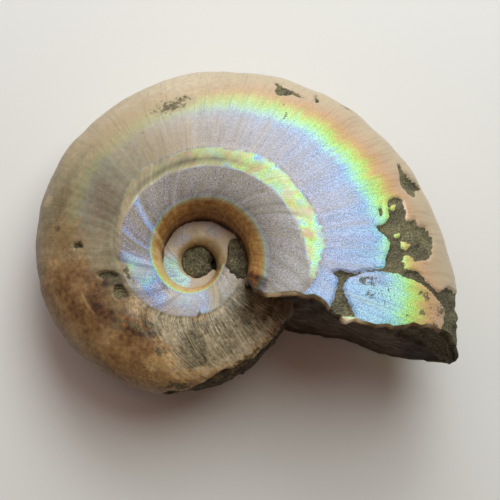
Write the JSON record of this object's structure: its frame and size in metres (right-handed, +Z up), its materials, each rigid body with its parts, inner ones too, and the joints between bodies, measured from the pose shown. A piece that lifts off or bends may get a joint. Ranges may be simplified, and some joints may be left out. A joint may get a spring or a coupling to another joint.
{
  "type": "desmoceras ammonite fossil",
  "caption": "Coiled fossil shell with iridescent nacre and a sediment filling, broken at its lip, lying on its side.",
  "frame": {"origin": "on the surface that the fossil lies on, under the middle of its footprint", "axes": "+Z up; the broken aperture faces -Y and lies towards +X; the coil axis leans 7.6 degrees from +Z, towards 131 degrees round +Z from +X"},
  "size_m": [0.0484, 0.0376, 0.0224],
  "materials": {
    "nacre_shell": "iridescent aragonite nacre over grey sediment, satin gloss, worn to tan and ochre in places"
  },
  "bodies": {
    "root": {"ammonite": "nacre_shell"}
  },
  "joints": []
}
